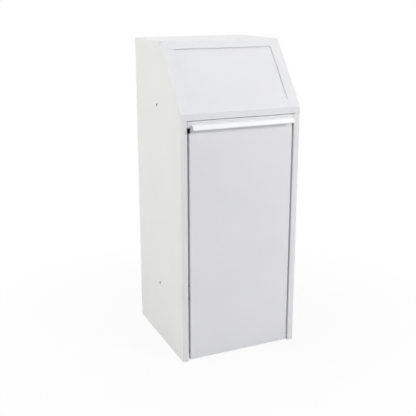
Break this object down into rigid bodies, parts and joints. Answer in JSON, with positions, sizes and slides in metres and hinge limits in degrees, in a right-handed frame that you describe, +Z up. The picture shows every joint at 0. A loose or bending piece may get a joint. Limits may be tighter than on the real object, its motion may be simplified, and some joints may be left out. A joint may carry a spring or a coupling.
{
  "type": "recycling bin",
  "caption": "Free-standing sheet-steel recycling bin cabinet with a sprung push flap in its sloping hood and a tilting front door that carries the bag holder.",
  "frame": {"origin": "centre of the cabinet's footprint, on the floor; the grip stands out in front of that footprint", "axes": "+X to the right as seen from the front, -Y out of the front, +Z up"},
  "size_m": [0.408, 0.4291, 1.007],
  "materials": {
    "white_paint": "satin white powder coat with a fine orange peel",
    "grip_paint": "smooth white powder coat, a little brighter and glossier than the panels",
    "zinc": "bright zinc plated steel",
    "nylon": "natural nylon",
    "rubber": "moulded rubber",
    "housing_plastic": "moulded plastic",
    "magnet": "ground ferrite"
  },
  "bodies": {
    "cabinet": {"left_side_panel": "white_paint", "right_side_panel": "white_paint", "back_panel": "white_paint", "floor_pan": "white_paint", "top_cover": "white_paint", "slope_frame": "white_paint", "cabinet_rivets": "white_paint", "left_rod_bracket": "zinc", "right_rod_bracket": "zinc", "flap_rod": "zinc", "rod_clips": "zinc", "flap_bumpers": "rubber", "door_bumpers": "rubber", "magnet_housing": "housing_plastic", "catch_magnet": "magnet", "catch_screws": "zinc", "left_pivot_plate": "zinc", "right_pivot_plate": "zinc", "left_pivot_pin": "zinc", "right_pivot_pin": "zinc", "left_stay_pin": "zinc", "right_stay_pin": "zinc", "left_flap_spring": "zinc", "right_flap_spring": "zinc"},
    "door": {"door_panel": "white_paint", "left_stiffener": "white_paint", "right_stiffener": "white_paint", "door_handle": "grip_paint", "handle_rivets": "zinc", "left_pivot_bush": "nylon", "right_pivot_bush": "nylon", "left_stay": "zinc", "right_stay": "zinc", "stay_screws": "zinc", "catch_plate": "zinc", "left_holder_bracket": "zinc", "right_holder_bracket": "zinc", "holder_screws": "zinc", "bag_holder": "zinc", "bag_tray": "zinc", "tray_screws": "zinc"},
    "clamp": {"bag_clamp": "zinc"},
    "flap": {"flap_panel": "white_paint", "left_flap_bush": "nylon", "right_flap_bush": "nylon"}
  },
  "joints": [
    {"name": "door_tilt", "type": "hinge", "parent": "cabinet", "child": "door", "pos_m": [0, -0.1945, 0.018], "axis": [1, 0, 0], "range_deg": [0, 35]},
    {"name": "flap_swing", "type": "hinge", "parent": "cabinet", "child": "flap", "pos_m": [0, -0.05081, 0.98406], "axis": [1, 0, 0], "range_deg": [0, 50], "stiffness_Nm_per_rad": 0.5, "springref_deg": -74.48, "deforming": ["left_flap_spring", "right_flap_spring"]},
    {"name": "clamp_lift", "type": "hinge", "parent": "door", "child": "clamp", "pos_m": [0, 0.0935, 0.6553], "axis": [-1, 0, 0], "range_deg": [0, 80]}
  ]
}
